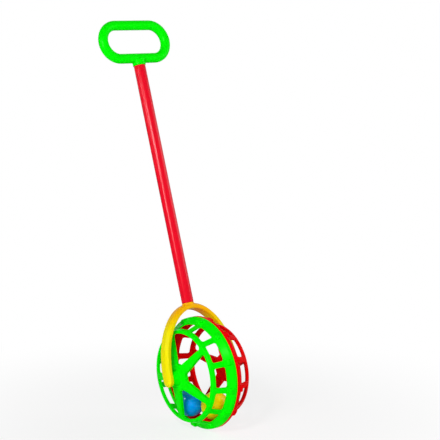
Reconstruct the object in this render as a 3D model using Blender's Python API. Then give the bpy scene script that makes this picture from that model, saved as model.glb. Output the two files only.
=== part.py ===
"""Toddler push toy: a hand loop, a long tube and an arched fork that carries a turning cage wheel
with two loose balls inside. Metres, +Z up, the wheel's axle along X, the tread touching z = 0.

The wheel's sections are written as (axial, radius) pairs, the axial distance counted outwards from
the wheel's middle plane. The handle is laid out upright over the axle and then leant back."""

import math

import bmesh
import bpy
from mathutils import Matrix, Vector

# How the toy stands
WHEEL_RADIUS = 0.0784
LEAN_DEG = 18.8
GAP = 0.0003

# Wheel halves: rim, sloping band and ring
LEFT_PHASE_DEG = 276.2
RIGHT_PHASE_DEG = 155.7
WHEEL_FACETS = 56
WALL = 0.0024
SEAM_OFFSET = 0.0010
LAP_LENGTH = 0.0030
LAP_SKIN = 0.0012
TREAD_HALF_WIDTH = 0.0036
RIM_EDGE_WIDTH = 0.0014
RIM_EDGE_DROP = 0.0008
SHOULDER_WIDTH = 0.0069
SHOULDER_DROP = 0.0065
BAND_WIDTH = 0.0179
BAND_DROP = 0.0094
RING_BAR_RADIUS = 0.0024
RIM_EDGE = Vector((TREAD_HALF_WIDTH + RIM_EDGE_WIDTH, WHEEL_RADIUS - RIM_EDGE_DROP))
BAND_TOP = RIM_EDGE + Vector((SHOULDER_WIDTH, -SHOULDER_DROP))
RING = BAND_TOP + Vector((BAND_WIDTH, -BAND_DROP))
DISH_THICKNESS = 2.0 * RING_BAR_RADIUS

# Wheel halves: bearing, hub and dished face
PIN_RADIUS = 0.0050
HUB_WALL = 0.0031
HUB_TAPER = 0.0022
HUB_HEIGHT = 0.0104
HUB_CHAMFER = 0.0008
PLATE_FLAT = 0.0062
PLATE_BEVEL = 0.0022
PLATE_BEVEL_DEPTH = 0.0006
DISH_DEPTH = 0.0136
BEARING_DEPTH = 0.0080
FLOOR_RECESS = 0.0004
FLOOR_THICKNESS = 0.0014
FLOOR_OVERLAP = 0.0010
FLOOR_FACETS = 20
BORE_RADIUS = PIN_RADIUS + GAP
HUB_NOSE_RADIUS = BORE_RADIUS + HUB_WALL
HUB_FOOT_RADIUS = HUB_NOSE_RADIUS + HUB_TAPER
HUB_FACE_RADIUS = HUB_FOOT_RADIUS + PLATE_FLAT
PLATE = Vector((RING.x + DISH_DEPTH, HUB_FACE_RADIUS + PLATE_BEVEL))
HUB_FACE_AXIAL = PLATE.x + PLATE_BEVEL_DEPTH
HUB_NOSE_AXIAL = HUB_FACE_AXIAL + HUB_HEIGHT
BEARING_INNER_AXIAL = HUB_FACE_AXIAL - BEARING_DEPTH

# Spokes and the openings between them
SPOKES = 5
SPOKE_HUB_HALF = 0.0074
SPOKE_RING_HALF = 0.0040
SPOKE_HUB_FILLET = 0.0030
SPOKE_RING_FILLET = 0.0030
POCKET_HUB_EDGE = 0.0045
POCKET_RING_EDGE = 0.0072
POCKET_EDGE = 0.0017
POCKET_SKIN = 0.0021
POCKET_FILLET = 0.0012
POCKET_FILLET_STEPS = 1
OPENING_OUTER_STEPS = 10
OPENING_INNER_STEPS = 2
OPENING_FILLET_STEPS = 3
EDGE_SOLVE_STEPS = 8
OVERRUN = 0.0030

# Band windows and outer lugs
WINDOWS = 12
WINDOW_RIB_DEG = 6.9
WINDOW_RING_EDGE = 0.0037
WINDOW_RIM_EDGE = 0.0006
WINDOW_FILLET = 0.0026
WINDOW_FILLET_STEPS = 2
LUG_HALF_WIDTH = 0.0040
LUG_INSET = 0.0005
LUG_FLAT = 0.0044
LUG_SLOPE = 0.0024
LUG_TOP_DROP = 0.0004
LUG_FALL = 0.0022
LUG_ROOT = 0.0013

# Balls: the yellow one lies against the blue one
BALL_RADIUS = 0.0198
BLUE_CLEAR = 0.0004
BLUE_AXIAL = -0.0060
BLUE_DEG = 291.5
YELLOW_CLEAR = 0.0005
YELLOW_AXIAL = 0.0076
BALL_RINGS = 10
BALL_SEGMENTS = 20

# Fork: arch, arm section and pins
ARM_WIDTH = 0.0180
ARM_THICKNESS = 0.0076
ARM_HUB_CLEAR = 0.0008
CROWN_CLEAR = 0.0112
ARM_BEVEL_ACROSS = 0.0046
ARM_BEVEL_DEPTH = 0.0026
ARM_CORNER = 0.0010
ARM_END_DROP = 0.0015
ARCH_STEPS = 26
ARM_END_STEPS = 5
ARM_TIP_SHARE = 0.97
PIN_END_CLEAR = 0.0004
PIN_NOSE = 0.0015
PIN_SHOULDER_INSET = 0.0004
PIN_ROOT = 0.0030
PIN_FACETS = 22
ARCH_HALF_SPAN = HUB_NOSE_AXIAL + ARM_HUB_CLEAR + ARM_THICKNESS / 2.0
ARCH_HEIGHT = WHEEL_RADIUS + CROWN_CLEAR + ARM_THICKNESS / 2.0
PIN_END_AXIAL = BEARING_INNER_AXIAL + FLOOR_RECESS + FLOOR_THICKNESS + PIN_END_CLEAR
PIN_SHOULDER_RADIUS = HUB_NOSE_RADIUS - PIN_SHOULDER_INSET

# Tube, its seat on the crown and the two plugs inside it
TUBE_RADIUS = 0.0083
TUBE_WALL = 0.0016
TUBE_LENGTH = 0.3417
TUBE_CHAMFER = 0.0004
TUBE_FACETS = 32
SEAT_LEDGE = 0.0004
SEAT_HEIGHT = 0.0010
SEAT_ROOT = 0.0045
SEAT_CHAMFER = 0.0006
PLUG_LENGTH = 0.0260
PLUG_ROOT = 0.0023
PLUG_RIBS = 6
PLUG_RIB_POINTS = 5
PLUG_CREST_POINTS = 2
PLUG_VALLEY = 0.0006
PLUG_CHAMFER = 0.0010
SEAT_RADIUS = TUBE_RADIUS + SEAT_LEDGE
SEAT_TOP = ARCH_HEIGHT + ARM_THICKNESS / 2.0 + SEAT_HEIGHT
TUBE_FOOT = SEAT_TOP + GAP
TUBE_TOP = TUBE_FOOT + TUBE_LENGTH

# Hand loop
LOOP_HALF_STRAIGHT = 0.0290
LOOP_END_RADIUS = 0.0242
LOOP_BAR_RADIUS = 0.0070
LOOP_END_STEPS = 12
LOOP_STRAIGHT_STEPS = 2
LOOP_SECTION_STEPS = 14
COLLAR_LENGTH = 0.0037
COLLAR_LEDGE = 0.0008
COLLAR_FLARE = 0.0013
COLLAR_FLARE_HEIGHT = 0.0045
COLLAR_ROOT = 0.0075
COLLAR_ROOT_RADIUS = 0.0046
COLLAR_RADIUS = TUBE_RADIUS + COLLAR_LEDGE
COLLAR_FOOT = TUBE_TOP + GAP
BAR_LOW = COLLAR_FOOT + COLLAR_LENGTH
LOOP_CENTRE = BAR_LOW + LOOP_BAR_RADIUS + LOOP_END_RADIUS

# Colours
GREEN = (0.012, 0.850, 0.020, 1.0)
RED = (0.760, 0.008, 0.012, 1.0)
TUBE_RED = (0.850, 0.010, 0.030, 1.0)
AMBER = (0.930, 0.700, 0.010, 1.0)
BLUE = (0.004, 0.250, 0.900, 1.0)
YELLOW = (0.800, 0.560, 0.010, 1.0)
GLOSS_ROUGHNESS = 0.28

SMOOTH_LIMIT_DEG = 32.0


def clear_scene():
    """Take away whatever the file holds before the toy is built."""
    for thing in list(bpy.data.objects):
        bpy.data.objects.remove(thing, do_unlink=True)
    for mesh in list(bpy.data.meshes):
        bpy.data.meshes.remove(mesh)
    for material in list(bpy.data.materials):
        bpy.data.materials.remove(material)


def plastic(name, colour):
    """A glossy moulded plastic in one colour."""
    material = bpy.data.materials.new(name)
    material.use_nodes = True
    shader = material.node_tree.nodes["Principled BSDF"]
    shader.inputs["Base Color"].default_value = colour
    shader.inputs["Roughness"].default_value = GLOSS_ROUGHNESS
    return material


def make_object(name, shells, material, place):
    """One mesh object from a list of (points, faces), moved by the matrix place."""
    mesh = bpy.data.meshes.new(name)
    work = bmesh.new()
    for points, faces in shells:
        corners = [work.verts.new(point) for point in points]
        for face in faces:
            work.faces.new([corners[index] for index in face])
    bmesh.ops.recalc_face_normals(work, faces=work.faces)
    work.to_mesh(mesh)
    work.free()
    mesh.shade_smooth()
    mesh.set_sharp_from_angle(angle=math.radians(SMOOTH_LIMIT_DEG))
    thing = bpy.data.objects.new(name, mesh)
    bpy.context.scene.collection.objects.link(thing)
    thing.matrix_world = place
    if material is not None:
        mesh.materials.append(material)
    return thing


def combine(target, tool, operation):
    """A live exact boolean between a piece and a hidden tool body."""
    tool.hide_render = True
    tool.display_type = "WIRE"
    modifier = target.modifiers.new(tool.name, "BOOLEAN")
    modifier.solver = "EXACT"
    modifier.operation = operation
    modifier.object = tool


def skin(rings, closed):
    """Faces between equal rings of points, with end caps unless the path is closed."""
    size = len(rings[0])
    points = [point for ring in rings for point in ring]
    faces = []
    spans = len(rings) if closed else len(rings) - 1
    for row in range(spans):
        near = row * size
        far = ((row + 1) % len(rings)) * size
        for step in range(size):
            after = (step + 1) % size
            faces.append((near + step, near + after, far + after, far + step))
    if not closed:
        faces.append(tuple(range(size)))
        faces.append(tuple(range(len(points) - size, len(points))))
    return points, faces


def turned(section, count, phase_deg, side):
    """A closed (axial, radius) section turned about the X axis."""
    rings = []
    for step in range(count):
        angle = math.radians(phase_deg + 360.0 * step / count)
        ring = []
        for axial, radius in section:
            ring.append(Vector((side * axial, radius * math.cos(angle), radius * math.sin(angle))))
        rings.append(ring)
    return skin(rings, True)


def stacked(levels, outline_of):
    """A solid of rings stacked along Z; each level is (height, radius)."""
    rings = []
    for height, radius in levels:
        rings.append([Vector((x, y, height)) for x, y in outline_of(radius)])
    return skin(rings, False)


def circle_outline(count):
    """A maker of round outlines with the given number of corners."""

    def outline(radius):
        points = []
        for step in range(count):
            angle = 2.0 * math.pi * step / count
            points.append((radius * math.cos(angle), radius * math.sin(angle)))
        return points

    return outline


def ribbed_outline(radius):
    """A round plug outline with shallow valleys between its ribs."""
    points = []
    count = PLUG_RIBS * PLUG_RIB_POINTS
    for step in range(count):
        angle = 2.0 * math.pi * step / count
        own = radius if step % PLUG_RIB_POINTS < PLUG_CREST_POINTS else radius - PLUG_VALLEY
        points.append((own * math.cos(angle), own * math.sin(angle)))
    return points


def rounded(corners, radii, steps):
    """A flat polygon with each corner replaced by an arc of its own radius."""
    points = []
    count = len(corners)
    for index, corner in enumerate(corners):
        radius = radii[index]
        if radius == 0:
            points.append(corner)
            continue
        before = (corners[index - 1] - corner).normalized()
        after = (corners[(index + 1) % count] - corner).normalized()
        half = before.angle(after) / 2.0
        middle = corner + (before + after).normalized() * (radius / math.sin(half))
        start = corner + before * (radius / math.tan(half)) - middle
        sweep = start.angle_signed(corner + after * (radius / math.tan(half)) - middle)
        for step in range(steps + 1):
            turn = -sweep * step / steps
            x = start.x * math.cos(turn) - start.y * math.sin(turn)
            y = start.x * math.sin(turn) + start.y * math.cos(turn)
            points.append(middle + Vector((x, y)))
    return points


def polar(radius, angle_deg):
    """A point round the axle, as its places along Y and Z."""
    angle = math.radians(angle_deg)
    return Vector((radius * math.cos(angle), radius * math.sin(angle)))


def tangent_angle(point, sense):
    """The angle on the ring's bar where the line from an outside point touches it."""
    away = point - RING
    base = math.atan2(away.y, away.x)
    return base + sense * math.acos(RING_BAR_RADIUS / away.length)


def on_ring(angle):
    """A point of the ring bar's round section."""
    return RING + RING_BAR_RADIUS * Vector((math.cos(angle), math.sin(angle)))


def band_directions():
    """Outward directions square to the band, the dished face and the rim's shoulder."""
    band_angle = tangent_angle(BAND_TOP, -1.0)
    face_angle = tangent_angle(PLATE, 1.0)
    along_rim = (BAND_TOP - RIM_EDGE).normalized()
    band_out = Vector((math.cos(band_angle), math.sin(band_angle)))
    face_out = Vector((math.cos(face_angle), math.sin(face_angle)))
    return band_out, face_out, Vector((-along_rim.y, along_rim.x))


def inner_ridge(band_out, rim_out):
    """The ridge inside the cage where the band's inner face meets the shoulder's."""
    half_bend = (rim_out + band_out).normalized()
    return BAND_TOP - half_bend * (WALL / half_bend.dot(rim_out))


def half_section(edge, lap_is_lip):
    """The (axial, radius) section of one half, from the bearing out to the rim and back."""
    band_out, face_out, rim_out = band_directions()
    band_angle = math.atan2(band_out.y, band_out.x)
    face_angle = math.atan2(face_out.y, face_out.x)
    up_band = Vector((-band_out.y, band_out.x))
    along_rim = Vector((rim_out.y, -rim_out.x))
    inner_rim = WHEEL_RADIUS - WALL
    inner_top = RIM_EDGE - rim_out * WALL
    inner_start = inner_top + along_rim * ((inner_rim - inner_top.y) / along_rim.y)
    depth = WALL - RING_BAR_RADIUS
    reach = math.sqrt(RING_BAR_RADIUS ** 2 - depth ** 2)
    inner_end = RING - band_out * depth + up_band * reach
    end_angle = math.atan2(inner_end.y - RING.y, inner_end.x - RING.x)
    back_angle = face_angle + math.pi
    plate_inner = PLATE - face_out * DISH_THICKNESS
    points = [
        Vector((HUB_NOSE_AXIAL, BORE_RADIUS)),
        Vector((HUB_NOSE_AXIAL, HUB_NOSE_RADIUS - HUB_CHAMFER)),
        Vector((HUB_NOSE_AXIAL - HUB_CHAMFER, HUB_NOSE_RADIUS)),
        Vector((HUB_FACE_AXIAL, HUB_FOOT_RADIUS)),
        Vector((HUB_FACE_AXIAL, HUB_FACE_RADIUS)),
        PLATE,
        on_ring(face_angle),
        on_ring((face_angle + band_angle) / 2.0),
        on_ring(band_angle),
        BAND_TOP,
        RIM_EDGE,
        Vector((TREAD_HALF_WIDTH, WHEEL_RADIUS)),
        Vector((edge, WHEEL_RADIUS)),
    ]
    if lap_is_lip:
        lip = -SEAM_OFFSET - LAP_LENGTH + GAP
        points.append(Vector((edge, WHEEL_RADIUS - LAP_SKIN - GAP)))
        points.append(Vector((lip, WHEEL_RADIUS - LAP_SKIN - GAP)))
        points.append(Vector((lip, inner_rim)))
    else:
        points.append(Vector((edge, WHEEL_RADIUS - LAP_SKIN)))
        points.append(Vector((edge + LAP_LENGTH, WHEEL_RADIUS - LAP_SKIN)))
        points.append(Vector((edge + LAP_LENGTH, inner_rim)))
    points.extend(
        [
            inner_start,
            inner_ridge(band_out, rim_out),
            inner_end,
            on_ring((end_angle + back_angle) / 2.0),
            on_ring(back_angle),
            plate_inner,
            Vector((HUB_FACE_AXIAL - DISH_THICKNESS, HUB_FACE_RADIUS)),
            Vector((HUB_FACE_AXIAL - DISH_THICKNESS, HUB_NOSE_RADIUS)),
            Vector((BEARING_INNER_AXIAL, HUB_NOSE_RADIUS)),
            Vector((BEARING_INNER_AXIAL, BORE_RADIUS)),
        ]
    )
    return points


def spoke_half_width(reach):
    """Half the width of a spoke, which tapers from the hub plate to the ring."""
    share = (reach - PLATE.y) / (RING.y - RING_BAR_RADIUS - PLATE.y)
    return SPOKE_HUB_HALF + (SPOKE_RING_HALF - SPOKE_HUB_HALF) * share


def spoke_point(radius, phase_deg, sense):
    """The point where a spoke's edge crosses a circle about the axle."""
    reach = radius
    for _ in range(EDGE_SOLVE_STEPS):
        reach = math.sqrt(radius ** 2 - spoke_half_width(reach) ** 2)
    along = polar(1.0, phase_deg)
    across = Vector((-along.y, along.x)) * sense
    return along * reach + across * spoke_half_width(reach)


def face_opening(phase_deg, side):
    """The cutter for one opening between two spokes."""
    outer = RING.y - RING_BAR_RADIUS
    step_deg = 360.0 / SPOKES
    corners = []
    radii = []
    for radius, fillet, forward in (
        (PLATE.y, SPOKE_HUB_FILLET, False),
        (outer, SPOKE_RING_FILLET, True),
    ):
        first = spoke_point(radius, phase_deg, 1.0)
        last = spoke_point(radius, phase_deg + step_deg, -1.0)
        start = math.degrees(math.atan2(first.y, first.x))
        span = math.degrees(math.atan2(last.y, last.x)) - start
        span = span % 360.0
        steps = OPENING_OUTER_STEPS if forward else OPENING_INNER_STEPS
        arc = [polar(radius, start + span * index / steps) for index in range(steps + 1)]
        fillets = [fillet] + [0.0] * (steps - 1) + [fillet]
        if not forward:
            arc.reverse()
        corners.extend(arc)
        radii.extend(fillets)
    outline = rounded(corners, radii, OPENING_FILLET_STEPS)
    near = RING.x - RING_BAR_RADIUS - OVERRUN
    far = HUB_FACE_AXIAL + OVERRUN
    rings = []
    for axial in (near, far):
        rings.append([Vector((side * axial, point.x, point.y)) for point in outline])
    return skin(rings, False)


def spoke_pocket(phase_deg, side, face_out):
    """The cutter for the hollow back of one spoke, its floor parallel to the spoke's face."""
    along = polar(1.0, phase_deg)
    across = Vector((-along.y, along.x))
    start = PLATE.y + POCKET_HUB_EDGE
    end = RING.y - POCKET_RING_EDGE
    flat = []
    for reach, sense in ((start, -1.0), (end, -1.0), (end, 1.0), (start, 1.0)):
        flat.append(Vector((reach, sense * (spoke_half_width(reach) - POCKET_EDGE))))
    outline = rounded(flat, [POCKET_FILLET] * len(flat), POCKET_FILLET_STEPS)
    slope = face_out.y / face_out.x
    rings = []
    for depth in (-POCKET_SKIN, -DISH_THICKNESS - OVERRUN):
        ring = []
        for point in outline:
            axial = PLATE.x - (point.x - PLATE.y) * slope + depth / face_out.x
            spot = along * point.x + across * point.y
            ring.append(Vector((side * axial, spot.x, spot.y)))
        rings.append(ring)
    return skin(rings, False)


def band_window(phase_deg, side, band_out):
    """The cutter for one window of the sloping band, square to the band."""
    low = RING + band_out * RING_BAR_RADIUS
    up_band = Vector((-band_out.y, band_out.x))
    top = (BAND_TOP - low).length - WINDOW_RIM_EDGE
    half = math.radians((360.0 / WINDOWS - WINDOW_RIB_DEG) / 2.0)
    flat = []
    for climb, sense in (
        (WINDOW_RING_EDGE, -1.0),
        (WINDOW_RING_EDGE, 1.0),
        (top, 1.0),
        (top, -1.0),
    ):
        radius = (low + up_band * climb).y
        flat.append(Vector((sense * radius * math.tan(half), climb)))
    outline = rounded(flat, [WINDOW_FILLET] * len(flat), WINDOW_FILLET_STEPS)
    radial = polar(1.0, phase_deg)
    across = Vector((-radial.y, radial.x))
    rings = []
    for rise in (-WALL - OVERRUN, OVERRUN):
        ring = []
        for point in outline:
            spot = low + up_band * point.y + band_out * rise
            flat_spot = radial * spot.y + across * point.x
            ring.append(Vector((side * spot.x, flat_spot.x, flat_spot.y)))
        rings.append(ring)
    return skin(rings, False)


def lug(phase_deg, side, rim_out):
    """One block standing on the rim's sloping shoulder, at the head of a rib."""
    slope = rim_out.x / rim_out.y
    start = RIM_EDGE.x - LUG_INSET
    shoulder = start + LUG_FLAT
    end = shoulder + LUG_SLOPE
    top = WHEEL_RADIUS - LUG_TOP_DROP
    section = [
        Vector((start, RIM_EDGE.y + LUG_INSET * slope - LUG_ROOT)),
        Vector((start, top)),
        Vector((shoulder, top)),
        Vector((end, top - LUG_FALL)),
        Vector((end, RIM_EDGE.y - (end - RIM_EDGE.x) * slope - LUG_ROOT)),
    ]
    radial = polar(1.0, phase_deg)
    across = Vector((-radial.y, radial.x))
    rings = []
    for sense in (-1.0, 1.0):
        ring = []
        for point in section:
            flat_spot = radial * point.y + across * (sense * LUG_HALF_WIDTH)
            ring.append(Vector((side * point.x, flat_spot.x, flat_spot.y)))
        rings.append(ring)
    return skin(rings, False)


def bearing_floor(side):
    """The thin disc that closes the inner end of the bearing."""
    near = BEARING_INNER_AXIAL + FLOOR_RECESS
    rings = []
    for axial in (near, near + FLOOR_THICKNESS):
        ring = []
        for x, y in circle_outline(FLOOR_FACETS)(BORE_RADIUS + FLOOR_OVERLAP):
            ring.append(Vector((side * axial, x, y)))
        rings.append(ring)
    return skin(rings, False)


def build_half(name, side, phase_deg, material, place):
    """One moulded half: side is -1 for the left half and 1 for the right half."""
    lap_is_lip = side > 0
    edge = GAP - SEAM_OFFSET if lap_is_lip else SEAM_OFFSET
    section = half_section(edge, lap_is_lip)
    band_out, face_out, rim_out = band_directions()
    facet_deg = 360.0 / WHEEL_FACETS
    body = make_object(
        name, [turned(section, WHEEL_FACETS, facet_deg / 2.0, side)], material, place
    )
    spoke_deg = 360.0 / SPOKES
    window_deg = 360.0 / WINDOWS
    lugs = []
    for index in range(WINDOWS):
        lugs.append(lug(phase_deg + window_deg * index, side, rim_out))
    openings = [face_opening(phase_deg + spoke_deg * index, side) for index in range(SPOKES)]
    pockets = [spoke_pocket(phase_deg + spoke_deg * index, side, face_out) for index in range(SPOKES)]
    windows = []
    for index in range(WINDOWS):
        windows.append(band_window(phase_deg + window_deg * (index + 0.5), side, band_out))
    combine(body, make_object(name + "_lugs", lugs, None, place), "UNION")
    combine(body, make_object(name + "_floor", [bearing_floor(side)], None, place), "UNION")
    combine(body, make_object(name + "_openings", openings, None, place), "DIFFERENCE")
    combine(body, make_object(name + "_pockets", pockets, None, place), "DIFFERENCE")
    combine(body, make_object(name + "_windows", windows, None, place), "DIFFERENCE")
    return body


def ball_orbit(axial, clear):
    """The radius at which a ball clears the ridge and the band of the half it lies in."""
    band_out, _, rim_out = band_directions()
    ridge = inner_ridge(band_out, rim_out)
    reach = BALL_RADIUS + clear
    aside = ridge.x - abs(axial)
    over_ridge = ridge.y - math.sqrt(max(0.0, reach ** 2 - aside ** 2))
    under_band = (ridge.dot(band_out) - reach - abs(axial) * band_out.x) / band_out.y
    return min(over_ridge, under_band)


def angle_between_balls(blue_orbit, yellow_orbit):
    """Degrees round the axle between two balls that lie a gap apart."""
    apart = (2.0 * BALL_RADIUS + GAP) ** 2 - (YELLOW_AXIAL - BLUE_AXIAL) ** 2
    cosine = (blue_orbit ** 2 + yellow_orbit ** 2 - apart) / (2.0 * blue_orbit * yellow_orbit)
    return math.degrees(math.acos(cosine))


def build_ball(name, axial, orbit_radius, angle_deg, material, place):
    """One ball; its own origin stays on the axle it rolls around."""
    spot = polar(orbit_radius, angle_deg)
    centre = Vector((axial, spot.x, spot.y))
    points = [centre + Vector((0.0, 0.0, BALL_RADIUS))]
    for row in range(1, BALL_RINGS):
        tilt = math.pi * row / BALL_RINGS
        for step in range(BALL_SEGMENTS):
            turn = 2.0 * math.pi * step / BALL_SEGMENTS
            around = Vector((math.cos(turn), math.sin(turn), 0.0)) * math.sin(tilt)
            points.append(centre + BALL_RADIUS * (around + Vector((0.0, 0.0, math.cos(tilt)))))
    points.append(centre - Vector((0.0, 0.0, BALL_RADIUS)))
    last = len(points) - 1
    faces = []
    for step in range(BALL_SEGMENTS):
        after = (step + 1) % BALL_SEGMENTS
        faces.append((0, 1 + step, 1 + after))
        bottom = last - BALL_SEGMENTS
        faces.append((last, bottom + after, bottom + step))
        for row in range(BALL_RINGS - 2):
            near = 1 + row * BALL_SEGMENTS
            far = near + BALL_SEGMENTS
            faces.append((near + step, far + step, far + after, near + after))
    return make_object(name, [(points, faces)], material, place)


def arm_section(width_share, centre, out):
    """The arm's bevelled section: the raised panel faces out, away from the wheel."""
    half = ARM_WIDTH / 2.0 * width_share
    thick = ARM_THICKNESS / 2.0
    across = ARM_BEVEL_ACROSS * width_share
    corner = ARM_CORNER * width_share
    flat = [
        (-half + corner, -thick),
        (half - corner, -thick),
        (half, -thick + corner),
        (half, thick - ARM_BEVEL_DEPTH),
        (half - across, thick),
        (-half + across, thick),
        (-half, thick - ARM_BEVEL_DEPTH),
        (-half, -thick + corner),
    ]
    ring = []
    for y, rise in flat:
        ring.append(Vector((centre.x + out.x * rise, y, centre.y + out.y * rise)))
    return ring


def arm_rings():
    """Sections from the left arm's tip over the crown to the right arm's tip."""
    half_width = ARM_WIDTH / 2.0
    side_path = []
    for index in range(ARM_END_STEPS, 0, -1):
        share = ARM_TIP_SHARE * math.sin(math.pi / 2.0 * index / ARM_END_STEPS)
        drop = ARM_END_DROP + half_width * share
        side_path.append((drop, math.sqrt(1.0 - share ** 2)))
    side_path.append((ARM_END_DROP, 1.0))
    rings = []
    for sense in (-1.0, 1.0):
        end = []
        for drop, share in side_path:
            centre = Vector((sense * ARCH_HALF_SPAN, -drop))
            end.append(arm_section(share, centre, Vector((sense, 0.0))))
        if sense < 0:
            rings.extend(end)
            for index in range(ARCH_STEPS + 1):
                angle = math.pi * (1.0 - index / ARCH_STEPS)
                centre = Vector((ARCH_HALF_SPAN * math.cos(angle), ARCH_HEIGHT * math.sin(angle)))
                out = Vector((ARCH_HEIGHT * math.cos(angle), ARCH_HALF_SPAN * math.sin(angle)))
                rings.append(arm_section(1.0, centre, out.normalized()))
        else:
            end.reverse()
            rings.extend(end)
    return rings


def pin(side):
    """The stub the wheel turns on, with the shoulder that keeps the arm off the hub."""
    arm_face = ARCH_HALF_SPAN - ARM_THICKNESS / 2.0
    levels = [
        (arm_face + PIN_ROOT, PIN_SHOULDER_RADIUS),
        (HUB_NOSE_AXIAL + GAP, PIN_SHOULDER_RADIUS),
        (HUB_NOSE_AXIAL + GAP, PIN_RADIUS),
        (PIN_END_AXIAL + PIN_NOSE, PIN_RADIUS),
        (PIN_END_AXIAL, PIN_RADIUS - PIN_NOSE),
    ]
    rings = []
    for axial, radius in levels:
        ring = []
        for x, y in circle_outline(PIN_FACETS)(radius):
            ring.append(Vector((side * axial, x, y)))
        rings.append(ring)
    return skin(rings, False)


def plug(base, tip):
    """The ribbed plug that fills the end of the tube; base and tip are heights."""
    radius = TUBE_RADIUS - TUBE_WALL - GAP
    toward = 1.0 if tip > base else -1.0
    levels = [
        (base, radius),
        (tip - toward * PLUG_CHAMFER, radius),
        (tip, radius - PLUG_CHAMFER),
    ]
    return stacked(levels, ribbed_outline)


def build_fork(material, place):
    """The arch and its arms, with the tube's seat and plug and the two stub pins."""
    body = make_object("fork", [skin(arm_rings(), False)], material, place)
    seat = [
        (SEAT_TOP - SEAT_ROOT, SEAT_RADIUS),
        (SEAT_TOP - SEAT_CHAMFER, SEAT_RADIUS),
        (SEAT_TOP, SEAT_RADIUS - SEAT_CHAMFER),
    ]
    seat_body = make_object("fork_seat", [stacked(seat, circle_outline(TUBE_FACETS))], None, place)
    combine(body, seat_body, "UNION")
    plug_body = plug(SEAT_TOP - PLUG_ROOT, SEAT_TOP + PLUG_LENGTH)
    combine(body, make_object("fork_plug", [plug_body], None, place), "UNION")
    combine(body, make_object("fork_pins", [pin(-1.0), pin(1.0)], None, place), "UNION")
    return body


def build_tube(material, place):
    """The hollow shaft, standing on the fork's seat."""
    bore = TUBE_RADIUS - TUBE_WALL
    section = [
        (TUBE_FOOT, bore),
        (TUBE_FOOT, TUBE_RADIUS - TUBE_CHAMFER),
        (TUBE_FOOT + TUBE_CHAMFER, TUBE_RADIUS),
        (TUBE_TOP - TUBE_CHAMFER, TUBE_RADIUS),
        (TUBE_TOP, TUBE_RADIUS - TUBE_CHAMFER),
        (TUBE_TOP, bore),
    ]
    rings = []
    for step in range(TUBE_FACETS):
        angle = 2.0 * math.pi * step / TUBE_FACETS
        ring = []
        for height, radius in section:
            ring.append(Vector((radius * math.cos(angle), radius * math.sin(angle), height)))
        rings.append(ring)
    return make_object("push_tube", [skin(rings, True)], material, place)


def loop_rings():
    """Round sections around the hand loop's rounded oblong path."""
    path = []
    for sense in (1.0, -1.0):
        for index in range(LOOP_END_STEPS):
            angle = math.pi * index / LOOP_END_STEPS - math.pi / 2.0
            out = Vector((math.cos(angle), math.sin(angle))) * sense
            centre = Vector((sense * LOOP_HALF_STRAIGHT, LOOP_CENTRE)) + out * LOOP_END_RADIUS
            path.append((centre, out))
        for index in range(LOOP_STRAIGHT_STEPS):
            share = 1.0 - 2.0 * index / LOOP_STRAIGHT_STEPS
            out = Vector((0.0, sense))
            centre = Vector((sense * share * LOOP_HALF_STRAIGHT, LOOP_CENTRE)) + out * LOOP_END_RADIUS
            path.append((centre, out))
    rings = []
    for centre, out in path:
        ring = []
        for step in range(LOOP_SECTION_STEPS):
            angle = 2.0 * math.pi * (step + 0.5) / LOOP_SECTION_STEPS
            rise = LOOP_BAR_RADIUS * math.cos(angle)
            y = LOOP_BAR_RADIUS * math.sin(angle)
            ring.append(Vector((centre.x + out.x * rise, y, centre.y + out.y * rise)))
        rings.append(ring)
    return rings


def build_loop(material, place):
    """The bent bar of the hand loop, with its flared collar and its plug."""
    body = make_object("grip_loop", [skin(loop_rings(), True)], material, place)
    collar = [
        (COLLAR_FOOT, COLLAR_RADIUS - TUBE_CHAMFER),
        (COLLAR_FOOT + TUBE_CHAMFER, COLLAR_RADIUS),
        (BAR_LOW - GAP, COLLAR_RADIUS),
        (BAR_LOW + COLLAR_FLARE_HEIGHT, COLLAR_RADIUS + COLLAR_FLARE),
        (BAR_LOW + COLLAR_ROOT, COLLAR_ROOT_RADIUS),
    ]
    collar_body = make_object(
        "loop_collar", [stacked(collar, circle_outline(TUBE_FACETS))], None, place
    )
    combine(body, collar_body, "UNION")
    plug_body = plug(COLLAR_FOOT + TUBE_CHAMFER * 2.0, TUBE_TOP - PLUG_LENGTH)
    combine(body, make_object("loop_plug", [plug_body], None, place), "UNION")
    return body


def build():
    clear_scene()
    green = plastic("green_plastic", GREEN)
    red = plastic("red_plastic", RED)
    tube_red = plastic("tube_red_plastic", TUBE_RED)
    amber = plastic("amber_plastic", AMBER)
    blue = plastic("blue_plastic", BLUE)
    yellow = plastic("yellow_plastic", YELLOW)
    # The tread's lowest facet lies flat on z = 0
    axle_height = WHEEL_RADIUS * math.cos(math.pi / WHEEL_FACETS)
    axle = Matrix.Translation((0.0, 0.0, axle_height))
    leant = axle @ Matrix.Rotation(math.radians(-LEAN_DEG), 4, "X")
    build_loop(green, leant)
    build_tube(tube_red, leant)
    build_fork(amber, leant)
    build_half("wheel_half_left", -1.0, LEFT_PHASE_DEG, green, axle)
    build_half("wheel_half_right", 1.0, RIGHT_PHASE_DEG, red, axle)
    blue_orbit = ball_orbit(BLUE_AXIAL, BLUE_CLEAR)
    yellow_orbit = ball_orbit(YELLOW_AXIAL, YELLOW_CLEAR)
    yellow_deg = BLUE_DEG - angle_between_balls(blue_orbit, yellow_orbit)
    build_ball("ball_blue", BLUE_AXIAL, blue_orbit, BLUE_DEG, blue, axle)
    build_ball("ball_yellow", YELLOW_AXIAL, yellow_orbit, yellow_deg, yellow, axle)
    bpy.context.view_layer.update()


build()
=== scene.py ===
import math

import bmesh
import bpy
from mathutils import Matrix, Vector


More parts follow.
